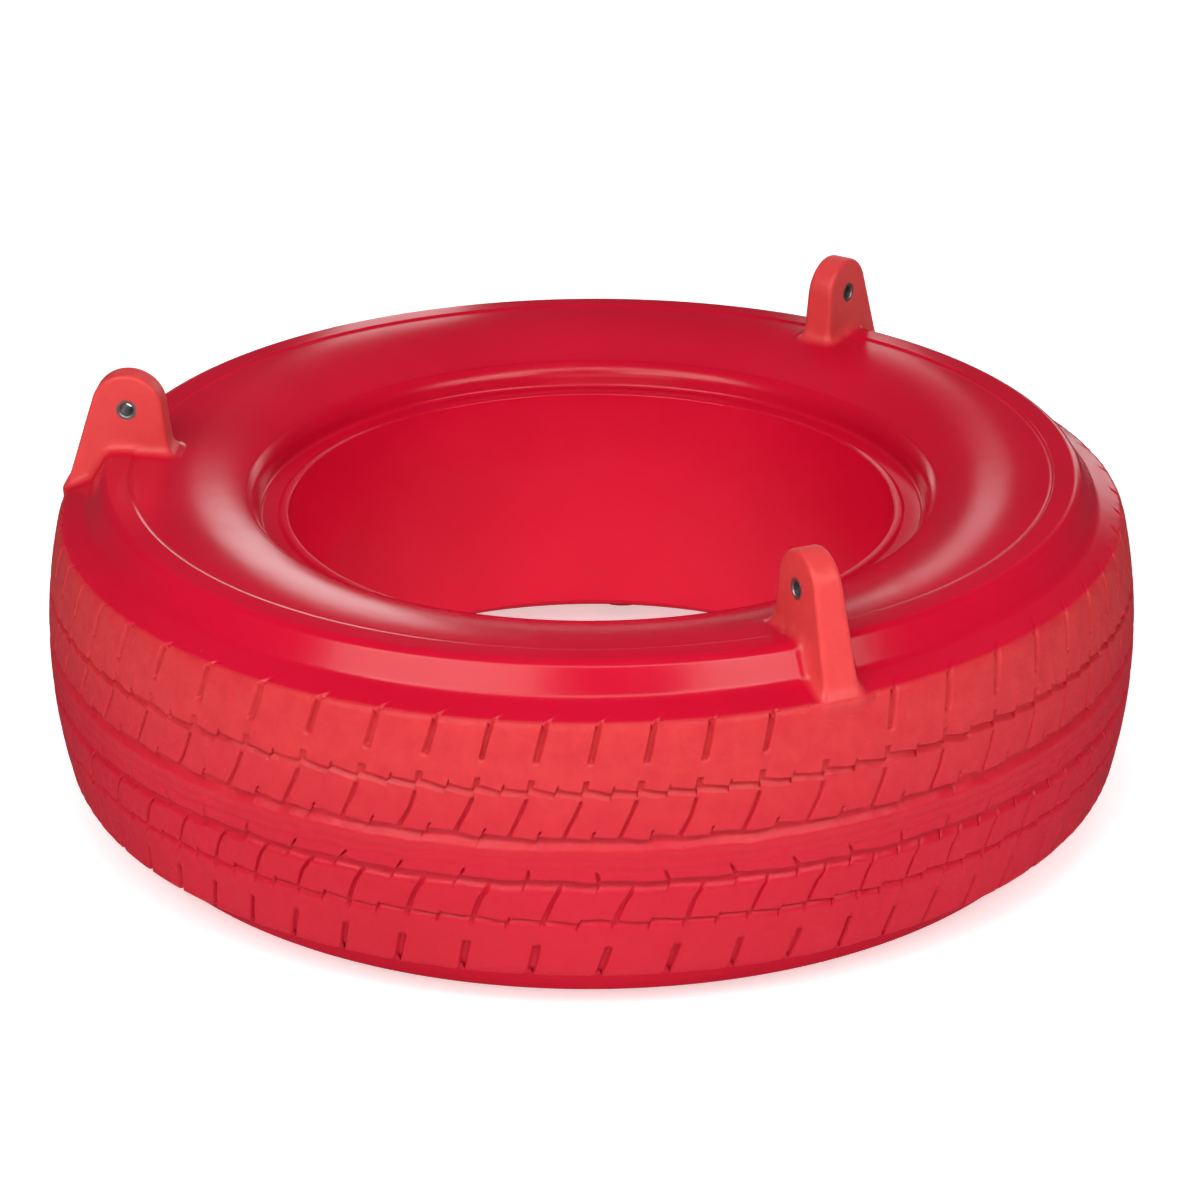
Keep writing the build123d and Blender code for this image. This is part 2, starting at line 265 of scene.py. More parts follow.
# The tread's cuts: depth in mm, kind, and (v, share of the full depth) one after another.
# A shoulder slot is left out beside a lug, and a groove runs all the way round.
CUTS = (
    (3.3, "shoulder", (54.6, 0, 56.2, 1, 77, 1, 78, 0.35, 83, 0)),
    (2.6, "wide", (37.4, 0, 38.5, 1, 44.6, 1, 45.8, 0)),
    (2.2, "tick", (37.4, 0, 38.5, 1, 41.0, 1, 42.6, 0)),
    (2.3, "groove", (36.4, 0, 37.4, 1, 39.5, 1, 40.4, 0)),
    (2.6, "thin", (9.5, 0, 11.2, 1, 33.2, 1, 34.5, 0)),
    (2.4, "tick", (9.5, 0, 11.2, 1, 16, 1, 17, 0)),
    (3.5, "groove", (4.5, 0, 9.5, 1, 12.2, 1, 13, 0)),
    (0.4, "groove", (-1.2, 0, -0.4, 1, 0.4, 0)),
    (0.4, "groove", (-7, 0, -6.2, 1, -5.4, 0)),
    (3.2, "groove", (-20.5, 0, -17, 1, -14.2, 1, -13, 0)),
    (2.6, "tick", (-20.5, 0, -18.8, 1, -9, 1, -7.5, 0)),
    (2.4, "thin", (-43.6, 0, -42.6, 1, -18.8, 1, -15.4, 0)),
    (2.5, "groove", (-42.6, 0, -39.8, 1, -39.2, 1, -38.2, 0)),
    (2.0, "tick", (-43.6, 0, -42.6, 1, -38.2, 1, -37.4, 0)),
    (3.3, "wide", (-83, 0, -78, 0.35, -77, 1, -57.2, 1, -55.4, 0)),
)

# How high the running grooves step, and (v, share) as above. The top one steps twice in
# a pitch, by the first height and then by the second.
TOP_STEPS = (1.5, 1.0, (34, 0, 36, 1, 41, 1, 45, 0))
OTHER_STEPS = (
    (1.2, (8, 0, 11, 1, 14, 1, 17, 0)),
    (0.7, (-24, 0, -20, 1, -13, 1, -9, 0)),
    (1.0, (-47, 0, -43, 1, -38, 1, -34, 0)),
)


def row_places():
    """Places across the tread: every feature's edge, with even rows in the gaps."""
    rows = sorted(set(ROW_EDGES) | {LEDGE_END, -LEDGE_END}, reverse=True)
    out = [rows[0]]
    for here in rows[1:]:
        count = max(1, math.ceil((out[-1] - here) / ROW_GAP))
        start = out[-1]
        out += [start + (here - start) * step / count for step in range(1, count + 1)]
    return np.array(out, float)


def column_places():
    """Places round the tread in pitches, close together at the slots and the notches."""
    one = sorted([0.0, 0.5] + [side * a for a in ACROSS[1:] for side in (-1, 1)])
    return np.concatenate([np.array(one) + pitch for pitch in range(PITCH_COUNT)])


def ramp(x, *table):
    """Straight blending through a table of x, value, x, value and so on."""
    return np.interp(x, table[0::2], table[1::2])


def pitch_angle(u, side, start):
    """Angle round the tyre at which pitch u starts, bunched and spread in waves."""
    even = start + u * 360 / PITCH_COUNT
    return even + side * PITCH_SWING * np.sin(np.radians(PITCH_WAVES * even - PITCH_PHASE))


def lean(table, v):
    """How far a slot leans at v, in degrees."""
    return np.interp(v, [row[0] for row in table], [row[1] for row in table])


def tread_angle(u, v):
    """Angle round the tyre of place (u, v): the slots lean, and each side has its own waves."""
    upper = pitch_angle(u, 1, UPPER_START) + lean(UPPER_LEAN, v)
    lower = pitch_angle(u - 1, -1, LOWER_START) + lean(LOWER_LEAN, v)
    share = np.interp(v, GIVES_WAY, (0, 1))
    return share * upper + (1 - share) * lower


def tread_depth(u, v, wobble):
    """Depth below the plain surface, in mm, of the slots, notches, grooves and sipes."""
    pitch = np.round(u)
    near = np.abs(u - pitch)
    wide = ramp(near, *WIDE)
    middle = pitch_angle(pitch, 1, UPPER_START) + SLOT_MIDDLE_LEAN
    from_lug = np.min([np.abs((middle - lug + 180) % 360 - 180) for lug in LUG_ANGLES], axis=0)
    kinds = {
        "shoulder": np.where(from_lug < LUG_PATCH_ANGLE, 0.0, wide),
        "wide": wide,
        "thin": ramp(near, *THIN),
        "tick": ramp(0.5 - near, *TICK),
        "groove": 1.0,
    }
    depth = np.zeros(np.broadcast(u, v).shape)
    for (deepest, kind, places), spread in zip(CUTS, wobble):
        cut = deepest * kinds[kind] * ramp(v, *places)
        depth = np.maximum(depth, cut * spread[pitch.astype(int) % PITCH_COUNT])
    return depth


def groove_step(u, v):
    """How far the running grooves step up and down at each pitch and half pitch, in mm."""
    whole = u - np.floor(u)
    half = 2 * (whole - np.where(whole < 0.5, 0.0, 0.5))
    early, late, places = TOP_STEPS
    total = np.where(whole < 0.5, early, late) * (1 - 2 * half) * ramp(v, *places)
    shifted = (u + 0.5) - np.floor(u + 0.5)
    for height, places in OTHER_STEPS:
        total = total + height * (1 - 2 * shifted) * ramp(v, *places)
    return total


def lumps(angle, z, rng):
    """Slow unevenness of the moulded tread, between -1 and 1."""
    total = np.zeros_like(angle)
    for _ in range(LUMP_WAVES):
        around = rng.integers(*LUMP_CRESTS)
        across = rng.uniform(-LUMP_SLANT, LUMP_SLANT)
        total += np.sin(np.radians(around * angle) + across * z + rng.uniform(0, 2 * math.pi))
    return total / LUMP_WAVES


def tread_grid():
    """Points of the tread and its ledges: one row per place across, one column per place round."""
    rng = np.random.default_rng(SEED)
    wobble = rng.uniform(*DEPTH_SPREAD, (len(CUTS), PITCH_COUNT))
    u, v = np.meshgrid(column_places(), row_places())
    depth = tread_depth(u, v, wobble)
    angle = tread_angle(u, v)
    angle += LUMP_TURN * lumps(angle, v, rng)
    shift = LUMP_SHIFT * lumps(angle, v, rng) * ramp(np.abs(v), 68, 1, 75, 0)
    placed = v + groove_step(u, v) + shift
    on_tread = np.clip(placed, -EDGE, EDGE)
    over = np.abs(placed) - EDGE
    side = np.sign(placed)
    share = np.clip(over, 0, None) / LEDGE_LENGTH
    r = crown_at(on_tread) + share * LEDGE[0]
    z = on_tread + side * share * LEDGE[1]
    slope = on_tread / CROWN_RADIUS
    out_r = np.where(over > 0, LEDGE[1] / LEDGE_LENGTH, np.sqrt(1 - slope ** 2))
    out_z = np.where(over > 0, -side * LEDGE[0] / LEDGE_LENGTH, slope)
    depth += EDGE_WEAR_DEPTH * np.exp(-(over / EDGE_WEAR_WIDTH) ** 2)
    depth += LUMP_DEPTH * np.abs(lumps(angle, z, rng)) * ramp(np.abs(placed), 76, 1, 84, 0)
    r = r - depth * out_r
    z = z - depth * out_z
    a = np.radians(angle)
    return np.stack([r * np.cos(a), r * np.sin(a), z], axis=-1)


# ---------------------------------------------------------------- mesh of the tyre
def grid_faces(first, rows, columns):
    """Quads between rings of a grid that closes on itself round the tyre."""
    index = first + np.arange(rows * columns).reshape(rows, columns)
    near, far = index, np.roll(index, -1, axis=1)
    return np.stack([near[:-1], near[1:], far[1:], far[:-1]], axis=-1).reshape(-1, 4)


def zip_rings(upper, lower, upper_angle, lower_angle):
    """Triangles between two closed rings of different counts, matched by angle."""
    faces = []
    i = j = 0
    turn = 2 * math.pi
    n, m = len(upper), len(lower)
    order_up = np.argsort(upper_angle % turn)
    order_low = np.argsort(lower_angle % turn)
    up = (upper_angle % turn)[order_up]
    low = (lower_angle % turn)[order_low]
    while i < n or j < m:
        next_up = up[(i + 1) % n] + turn * ((i + 1) // n)
        next_low = low[(j + 1) % m] + turn * ((j + 1) // m)
        a, b = upper[order_up[i % n]], lower[order_low[j % m]]
        if j >= m or (i < n and next_up <= next_low):
            faces.append((a, b, upper[order_up[(i + 1) % n]]))
            i += 1
        else:
            faces.append((a, b, lower[order_low[(j + 1) % m]]))
            j += 1
    return faces


def tyre_mesh():
    """Closed mesh of the tyre without lugs: the tread's grid, zipped to a plain turned body."""
    tread = tread_grid()
    rows, columns = tread.shape[:2]
    start = (np.hypot(tread[0, 0, 0], tread[0, 0, 1]), tread[0, 0, 2])
    upper = side_profile(start)[1:]
    lower = [np.array((r, -z)) for r, z in reversed(upper[:-1])]
    smooth = np.array(upper + lower)[::-1]
    a = np.radians(np.arange(SMOOTH_COLUMNS) * 360 / SMOOTH_COLUMNS)
    r, z = smooth[:, :1], smooth[:, 1:]
    rest = np.stack([r * np.cos(a), r * np.sin(a), z.repeat(SMOOTH_COLUMNS, axis=1)], axis=-1)
    first = rows * columns
    points = np.concatenate([tread.reshape(-1, 3), rest.reshape(-1, 3)])
    faces = grid_faces(0, rows, columns).tolist()
    faces += grid_faces(first, len(smooth), SMOOTH_COLUMNS).tolist()
    bottom = np.arange((rows - 1) * columns, rows * columns)
    top = np.arange(columns)
    ring_low = first + np.arange(SMOOTH_COLUMNS)
    ring_high = first + (len(smooth) - 1) * SMOOTH_COLUMNS + np.arange(SMOOTH_COLUMNS)
    around = np.arctan2(points[:, 1], points[:, 0])
    faces += zip_rings(bottom, ring_low, around[bottom], around[ring_low])
    faces += zip_rings(ring_high, top, around[ring_high], around[top])
    return points, faces


# ---------------------------------------------------------------- lugs
def polygon_distance(points, outline):
    """Signed distance of points from a closed outline, less than zero inside it."""
    best = np.full(len(points), np.inf)
    inside = np.zeros(len(points), bool)
    for a, b in zip(outline, np.roll(outline, -1, axis=0)):
        run = b - a
        share = np.clip(((points - a) @ run) / (run @ run), 0, 1)
        best = np.minimum(best, ((points - a - share[:, None] * run) ** 2).sum(1))
        crosses = (a[1] > points[:, 1]) != (b[1] > points[:, 1])
        with np.errstate(divide="ignore", invalid="ignore"):
            at = a[0] + (points[:, 1] - a[1]) * run[0] / run[1]
        inside ^= crosses & (points[:, 0] < at)
    return np.where(inside, -1, 1) * np.sqrt(best)


class Sheet:
    """A flat field of distances, read between its points by straight blending."""

    def __init__(self, outline, low, high, step):
        self.low, self.step = np.array(low, float), step
        xs = np.arange(low[0], high[0] + step, step)
        ys = np.arange(low[1], high[1] + step, step)
        x, y = np.meshgrid(xs, ys, indexing="ij")
        flat = polygon_distance(np.stack([x.ravel(), y.ravel()], -1), np.array(outline))
        self.values = flat.reshape(x.shape)

    def at(self, x, y):
        """Distances at points, with those outside the sheet brought just inside its border."""
        border = 1.001
        fx = np.clip((x - self.low[0]) / self.step, 0, self.values.shape[0] - border)
        fy = np.clip((y - self.low[1]) / self.step, 0, self.values.shape[1] - border)
        i, j = fx.astype(int), fy.astype(int)
        s, t = fx - i, fy - j
        w = self.values
        near = w[i, j] * (1 - s) + w[i + 1, j] * s
        far = w[i, j + 1] * (1 - s) + w[i + 1, j + 1] * s
        return near * (1 - t) + far * t


def tyre_outline():
    """Closed outline of the tyre's plain section."""
    upper = side_profile(TREAD_EDGE)
    crown = [np.array((crown_at(z), z)) for z in np.linspace(-EDGE, EDGE, CROWN_POINTS)]
    lower = [np.array((r, -z)) for r, z in reversed(upper)]
    return crown[:-1] + upper + lower[1:-1]


def lug_outline():
    """Closed outline of a lug seen along the tyre's rim: a round head on a tapered foot."""

    def touch(outside, turn):
        run, rise = outside[0] - LUG_HOLE[0], outside[1] - LUG_HOLE[1]
        return math.atan2(rise, run) + turn * math.acos(LUG_HEAD_RADIUS / math.hypot(run, rise))

    first, last = touch(TREAD_EDGE, 1), touch(LUG_TOE, -1) % (2 * math.pi)
    head = [
        (LUG_HOLE[0] + LUG_HEAD_RADIUS * math.cos(a), LUG_HOLE[1] + LUG_HEAD_RADIUS * math.sin(a))
        for a in np.linspace(first, last, LUG_HEAD_POINTS)
    ]
    return head + [LUG_TOE, (TREAD_EDGE[0] - LUG_FOOT_INSET, LUG_TOE[1]), TREAD_EDGE]


def lug_fields():
    """Fields, less than zero inside, of a lug by itself and of it with its flared root."""
    tyre = Sheet(tyre_outline(), *FIELD_BOX, FIELD_STEP)
    side = Sheet(lug_outline(), *FIELD_BOX, FIELD_STEP)
    slope = (LUG_BASE_THICKNESS - LUG_TOP_THICKNESS) / 2 / (LUG_TOP - EDGE)

    def lug(x, y, z):
        half = LUG_TOP_THICKNESS / 2 + slope * (LUG_TOP - z)
        a = side.at(x, z) + LUG_EDGE_ROUND
        b = (np.abs(y) - half) / math.hypot(1, slope) + LUG_EDGE_ROUND
        out = np.hypot(np.maximum(a, 0), np.maximum(b, 0))
        return np.minimum(np.maximum(a, b), 0) + out - LUG_EDGE_ROUND

    def whole(x, y, z):
        skin = tyre.at(np.hypot(x, y), z) + LUG_SKIRT_SINK
        body = lug(x, y, z)
        near = np.clip(0.5 + 0.5 * (skin - body) / LUG_FILLET, 0, 1)
        joined = skin + (body - skin) * near - LUG_FILLET * near * (1 - near)
        return np.maximum(joined, np.maximum(body - LUG_SKIRT, -(skin + LUG_ROOT_DEPTH)))

    return lug, whole


def lug_mesh(field, step):
    """Surface of one lug and its flared root, by surface nets, then moved on to the exact field."""
    low, high = np.array(LUG_BOX)
    axes = [np.arange(low[i], high[i] + step, step) for i in range(3)]
    values = field(*np.meshgrid(*axes, indexing="ij"))
    outside = 5.0
    values[[0, -1]] = values[:, [0, -1]] = values[:, :, [0, -1]] = outside
    shape = np.array(values.shape) - 1
    total = np.zeros((*shape, 3))
    count = np.zeros(shape)

    def corner(offset):
        i, j, k = offset
        return values[i:i + shape[0], j:j + shape[1], k:k + shape[2]]

    # One point in each cell that the surface crosses, in the middle of its edges' crossings
    for axis in range(3):
        for p, q in ((0, 0), (0, 1), (1, 0), (1, 1)):
            start = [p, q]
            start.insert(axis, 0)
            end = list(start)
            end[axis] = 1
            a, b = corner(start), corner(end)
            cut = (a < 0) != (b < 0)
            with np.errstate(divide="ignore", invalid="ignore"):
                share = np.where(cut, a / (a - b), 0)
            for k in range(3):
                total[..., k] += np.where(cut, start[k] + (share if k == axis else 0), 0)
            count += cut
    active = count > 0
    number = np.full(shape, -1)
    number[active] = np.arange(active.sum())
    points = low + (np.argwhere(active) + total[active] / count[active][:, None]) * step

    # One quad round each edge of the grid that the surface crosses
    inside = values < 0
    faces = []
    for axis in range(3):
        one, two = [k for k in range(3) if k != axis]
        here = [slice(None)] * 3
        here[axis] = slice(0, -1)
        ahead = [slice(None)] * 3
        ahead[axis] = slice(1, None)
        edge = np.zeros(values.shape, bool)
        edge[tuple(here)] = inside[tuple(here)] != inside[tuple(ahead)]
        for k in (one, two):
            ends = [slice(None)] * 3
            ends[k] = [0, -1]
            edge[tuple(ends)] = False
        at = np.argwhere(edge)
        around = []
        for p, q in ((0, 0), (1, 0), (1, 1), (0, 1)):
            cell = at.copy()
            cell[:, one] -= p
            cell[:, two] -= q
            around.append(number[tuple(cell.T)])
        quad = np.stack(around, -1)
        solid = inside[tuple(at.T)]
        flip = solid if axis != 1 else ~solid
        faces.append(np.where(flip[:, None], quad[:, ::-1], quad))

    # A few short steps down the field's slope put the points on the surface itself
    gap, longest, least = 0.05, 0.4, 0.25
    for _ in range(3):
        value = field(*points.T)
        ahead = [field(*(points + gap * np.eye(3)[k]).T) for k in range(3)]
        slope = np.stack([(further - value) / gap for further in ahead], -1)
        size = np.maximum((slope ** 2).sum(1), least)
        points = points + np.clip(-(value / size)[:, None] * slope, -longest, longest)
    return points, np.concatenate(faces)


# ---------------------------------------------------------------- making objects
def make_object(name, points, faces):
    """A mesh object from millimetre points measured from the mid plane."""
    mesh = bpy.data.meshes.new(name)
    placed = (np.asarray(points) + (0, 0, HALF)) * MM
    mesh.from_pydata(placed.tolist(), [], [tuple(f) for f in faces])
    mesh.validate()
    ob = bpy.data.objects.new(name, mesh)
    bpy.context.scene.collection.objects.link(ob)
    return ob


def turned(points, degrees):
    """Points turned about the tyre's axis."""
    a = math.radians(degrees)
    spin = np.array(((math.cos(a), -math.sin(a), 0), (math.sin(a), math.cos(a), 0), (0, 0, 1)))
    return np.asarray(points) @ spin.T


def lathe(profile, segments=96):
    """Closed turned shape about Z from (radius, height) points, with flat ends."""
    points, faces = [], []
    angles = np.linspace(0, 2 * math.pi, segments, endpoint=False)
    for r, h in profile:
        points += [(r * math.cos(a), r * math.sin(a), h) for a in angles]
    for ring in range(len(profile) - 1):
        for k in range(segments):
            a, b = ring * segments + k, ring * segments + (k + 1) % segments
            faces.append((a, b, b + segments, a + segments))
    faces.append(tuple(range(segments))[::-1])
    faces.append(tuple(range((len(profile) - 1) * segments, len(profile) * segments)))
    return np.array(points), faces


def placed_on(points, origin, normal):
    """Points made about Z, moved so that Z runs along a normal from an origin."""
    turn = Vector((0, 0, 1)).rotation_difference(Vector(normal)).to_matrix()
    return points @ np.array(turn).T + np.array(origin)


def gather(parts):
    """One list of points and faces from several."""
    points, faces, first = [], [], 0
    for p, f in parts:
        points.append(p)
        faces += [tuple(int(i) + first for i in face) for face in f]
        first += len(p)
    return np.concatenate(points), faces


def boolean(ob, other, operation):
    """Join another object to this one, or cut it away, when the mesh is next worked out."""
    step = ob.modifiers.new(operation.lower(), "BOOLEAN")
    step.operation = operation
    step.solver = "MANIFOLD"
    step.object = other


def plug_place():
    """Centre of the vent plug's seat on the lower sidewall, and the way out of the tyre there."""
    arc = np.array([p[:2] for p in sidewall_arc(PLUG_ARC_STEPS)])
    near = int(np.argmin(np.abs(arc[:, 0] - PLUG_DISTANCE)))
    run = arc[near + 1] - arc[near - 1]
    normal = np.array((-run[1], run[0])) / np.linalg.norm(run)
    normal *= np.sign(normal[1])
    seat = arc[near] - PLUG_SEAT_DEPTH * normal
    return (0.0, seat[0], -seat[1]), (0.0, normal[0], -normal[1])


def mark_lugs(mesh, body):
    """Store how much each vertex belongs to a lug, for the material to read."""
    points = np.empty(3 * len(mesh.vertices))
    mesh.vertices.foreach_get("co", points)
    points = points.reshape(-1, 3) / MM - (0, 0, HALF)
    nearest = np.full(len(points), np.inf)
    inner, side, bottom = TINT_BOX
    for angle in LUG_ANGLES:
        x, y, z = turned(points, -angle).T
        close = (x > inner) & (np.abs(y) < side) & (z > bottom)
        nearest[close] = np.minimum(nearest[close], body(x[close], y[close], z[close]))
    share = np.clip(1 - nearest / TINT_REACH, 0, 1)
    share = share * share * (3 - 2 * share)
    mesh.attributes.new("lug", "FLOAT", "POINT").data.foreach_set("value", share.astype(np.float32))


def build_shell():
    """The whole moulding: the tyre and its lugs in one mesh, with the bush and plug holes cut."""
    shell = make_object("tyre_shell_skin", *tyre_mesh())
    body, whole = lug_fields()
    lug = lug_mesh(whole, LUG_CELL)
    lugs = make_object("lug_blanks", *gather([(turned(lug[0], a), lug[1]) for a in LUG_ANGLES]))
    hole = lathe([(BUSH_RADIUS, -BUSH_HOLE_CUT), (BUSH_RADIUS, BUSH_HOLE_CUT)])
    across = placed_on(hole[0], (LUG_HOLE[0], 0, LUG_HOLE[1]), (0, 1, 0))
    cutters = [(turned(across, a), hole[1]) for a in LUG_ANGLES]
    seat = lathe([
        (PLUG_HOLE_RADIUS, -PLUG_HOLE_CUT),
        (PLUG_HOLE_RADIUS, 0.0),
        (PLUG_SEAT_RADIUS, 0.0),
        (PLUG_SEAT_RADIUS, PLUG_SEAT_CUT),
    ])
    cutters.append((placed_on(seat[0], *plug_place()), seat[1]))
    cuts = make_object("cutters", *gather(cutters))
    boolean(shell, lugs, "UNION")
    boolean(shell, cuts, "DIFFERENCE")
    bpy.context.view_layer.update()
    graph = bpy.context.evaluated_depsgraph_get()
    mesh = bpy.data.meshes.new_from_object(shell.evaluated_get(graph))
    shell.modifiers.clear()
    shell.data = mesh
    for tool in (lugs, cuts):
        bpy.data.objects.remove(tool)
    mesh.shade_smooth()
    mesh.set_sharp_from_angle(angle=SHARP_ANGLE)
    mark_lugs(mesh, body)
    return shell


# ---------------------------------------------------------------- materials
class Nodes:
    """Short ways to add and join nodes of one material."""

    def __init__(self, name):
        self.material = bpy.data.materials.new(name)
        self.material.use_nodes = True
        self.tree = self.material.node_tree
        self.surface = self.tree.nodes["Principled BSDF"]

    def add(self, kind, **values):
        """A node, with its settings and its inputs' own values by name."""
        node = self.tree.nodes.new("ShaderNode" + kind)
        for key, value in values.items():
            if hasattr(node, key):
                setattr(node, key, value)
            else:
                node.inputs[key.replace("_", " ")].default_value = value
        return node

    def join(self, source, target):
        """Link an output to an input."""
        self.tree.links.new(source, target)

    def math(self, operation, a, b=None):
        """Arithmetic on one or two values, each a number or an output."""
        node = self.add("Math", operation=operation)
        for index, value in enumerate((a, b)):
            if value is None:
                continue
            if isinstance(value, (int, float)):
                node.inputs[index].default_value = value
            else:
                self.join(value, node.inputs[index])
        return node.outputs[0]

    def noise(self, scale, detail=3.0, roughness=0.5):
        """Clouds in the object's own space, with this many to the metre."""
        node = self.add("TexNoise", Scale=scale, Detail=detail, Roughness=roughness)
        self.join(self.place(), node.inputs["Vector"])
        return node.outputs["Fac"]

    def place(self):
        """The object's own coordinates, in metres."""
        if not hasattr(self, "coordinates"):
            self.coordinates = self.add("TexCoord").outputs["Object"]
        return self.coordinates

    def span(self, value, low, high, to_low, to_high):
        """A value carried from one range to another, and held at its ends."""
        node = self.add("MapRange")
        node.inputs["From Min"].default_value = low
        node.inputs["From Max"].default_value = high
        node.inputs["To Min"].default_value = to_low
        node.inputs["To Max"].default_value = to_high
        self.join(value, node.inputs["Value"])
        return node.outputs[0]

    def blend(self, share, a, b):
        """Colour between two, each a colour or an output."""
        node = self.add("Mix", data_type="RGBA")
        self.join(share, node.inputs["Factor"])
        for socket, value in ((node.inputs["A"], a), (node.inputs["B"], b)):
            if isinstance(value, tuple):
                socket.default_value = (*value, 1.0)
            else:
                self.join(value, socket)
        return node.outputs["Result"]

    def bump(self, height, distance, strength, under=None):
        """Fine relief; strength may be a number or an output, and it may lie on another relief."""
        node = self.add("Bump", Distance=distance)
        if isinstance(strength, (int, float)):
            node.inputs["Strength"].default_value = strength
        else:
            self.join(strength, node.inputs["Strength"])
        self.join(height, node.inputs["Height"])
        if under:
            self.join(under, node.inputs["Normal"])
        return node.outputs["Normal"]


# Colours, each a darker and a lighter one that clouds blend
DEEP_RED = ((0.52, 0.0025, 0.022), (0.57, 0.0035, 0.027))
# Paler red of the dull tread: partly its own duller tone, partly painted sheen of the front light
DULL_AND_SHEEN_RED = ((0.55, 0.022, 0.033), (0.61, 0.034, 0.039))
# Lighter red painted on the lugs as painted light: they are the same plastic as the tyre, lit from
# the front
LUG_PAINTED_LIGHT_RED = (0.80, 0.075, 0.070)
STEEL_GREY = ((0.30, 0.29, 0.28), (0.50, 0.485, 0.47))
PLUG_RED = ((0.36, 0.004, 0.018), (0.45, 0.006, 0.026))
FLOOR_WHITE = ((0.90, 0.90, 0.90), (0.92, 0.92, 0.92))
WHITE = (1.0, 1.0, 1.0, 1.0)

# Ranges, in metres, over which the deep gloss of the ledges gives way to the dull tread,
# and the height above the mid plane over which painted sheen on the dull surfaces grows: a paler
# red stands in for the front light's sheen on the upper tread
TREAD_STARTS_OUT = (0.3165, 0.3195)
TREAD_STARTS_BELOW = (0.0775, 0.0760)
PAINTED_SHEEN_RISE = (-0.010, 0.050)


def shell_material():
    """Moulded polyethylene: deep glossy red, duller on the tread and the lugs, with painted sheen
    there: a paler red growing towards the top of the tread, and a lighter red painted on the lugs.
    """
    n = Nodes("moulded_red_plastic")
    split = n.add("SeparateXYZ")
    n.join(n.place(), split.inputs[0])
    x, y, z = split.outputs
    out = n.math("SQRT", n.math("ADD", n.math("MULTIPLY", x, x), n.math("MULTIPLY", y, y)))
    level = n.math("SUBTRACT", z, HALF * MM)
    on_side = n.span(out, *TREAD_STARTS_OUT, 0.0, 1.0)
    below = n.span(n.math("ABSOLUTE", level), *TREAD_STARTS_BELOW, 0.0, 1.0)
    lug = n.add("Attribute", attribute_name="lug").outputs["Fac"]
    dull = n.math("MAXIMUM", n.math("MULTIPLY", on_side, below), lug)
    # Painted sheen: the paler red grows towards the top of the tread, where the front light falls
    # on it
    painted_sheen = n.math("MULTIPLY", dull, n.span(level, *PAINTED_SHEEN_RISE, 0.15, 1.0))
    cloud = n.noise(7.0, 4.0, 0.55)
    deep = n.blend(n.span(cloud, 0.35, 0.65, 0.0, 1.0), *DEEP_RED)
    pale = n.blend(n.span(n.noise(90.0, 4.0, 0.6), 0.3, 0.7, 0.0, 1.0), *DULL_AND_SHEEN_RED)
    # Half of the lighter lug red, painted light, is laid over the lugs and their roots
    colour = n.blend(n.math("MULTIPLY", lug, 0.5), n.blend(painted_sheen, deep, pale), LUG_PAINTED_LIGHT_RED)
    n.join(colour, n.surface.inputs["Base Color"])
    scuff = n.span(n.noise(38.0, 6.0, 0.65), 0.50, 0.75, 0.0, 0.06)
    gloss = n.span(cloud, 0.3, 0.7, 0.19, 0.23)
    rough = n.math("ADD", n.math("ADD", gloss, scuff), n.math("MULTIPLY", dull, 0.15))
    n.join(rough, n.surface.inputs["Roughness"])
    peel = n.bump(n.noise(130.0, 2.0, 0.5), 0.0002, 0.25)
    slow = n.bump(n.noise(14.0, 2.0, 0.5), 0.0014, 0.15, peel)
    pits = n.bump(n.noise(75.0, 4.0, 0.6), 0.0014, n.math("MULTIPLY", dull, 0.5), slow)
    grain = n.bump(n.noise(420.0, 5.0, 0.65), 0.0005, n.math("MULTIPLY", dull, 0.4), pits)
    n.join(grain, n.surface.inputs["Normal"])
    n.surface.inputs["Specular IOR Level"].default_value = 0.38
    n.surface.inputs["Specular Tint"].default_value = (1.0, 0.74, 0.66, 1.0)
    return n.material


def steel_material():
    """Turned and zinc plated steel, with fine marks and a little dullness."""
    n = Nodes("plated_steel")
    n.join(n.blend(n.noise(160.0, 4.0, 0.6), *STEEL_GREY), n.surface.inputs["Base Color"])
    n.surface.inputs["Metallic"].default_value = 1.0
    n.join(n.span(n.noise(600.0, 4.0, 0.6), 0.3, 0.7, 0.42, 0.6), n.surface.inputs["Roughness"])
    n.join(n.bump(n.noise(900.0, 3.0, 0.6), 0.0001, 0.5), n.surface.inputs["Normal"])
    return n.material


def plug_material():
    """Satin moulded plug, a shade darker than the tyre."""
    n = Nodes("satin_red_plug")
    n.join(n.blend(n.noise(60.0, 3.0, 0.5), *PLUG_RED), n.surface.inputs["Base Color"])
    n.join(n.span(n.noise(220.0, 4.0, 0.6), 0.3, 0.7, 0.38, 0.52), n.surface.inputs["Roughness"])
    n.join(n.bump(n.noise(500.0, 4.0, 0.6), 0.0002, 0.4), n.surface.inputs["Normal"])
    return n.material


def floor_material():
    """Matte and nearly white, with a little light of its own so that it stays white."""
    n = Nodes("pale_floor")
    n.join(n.blend(n.noise(3.0, 2.0), *FLOOR_WHITE), n.surface.inputs["Base Color"])
    n.surface.inputs["Roughness"].default_value = 0.9
    n.surface.inputs["Specular IOR Level"].default_value = 0.1
    n.surface.inputs["Emission Color"].default_value = WHITE
    n.surface.inputs["Emission Strength"].default_value = 0.5
    return n.material


def dress(ob, material):
    """Give an object one material and no other."""
    ob.data.materials.clear()
    ob.data.materials.append(material)


# ---------------------------------------------------------------- the object
shell = build_shell()
dress(shell, shell_material())
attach(shell, "root")
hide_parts("tyre_shell")
steel = steel_material()
for name in ("lug_bush_1", "lug_bush_2", "lug_bush_3"):
    dress(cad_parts[name], steel)
dress(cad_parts["vent_plug"], plug_material())


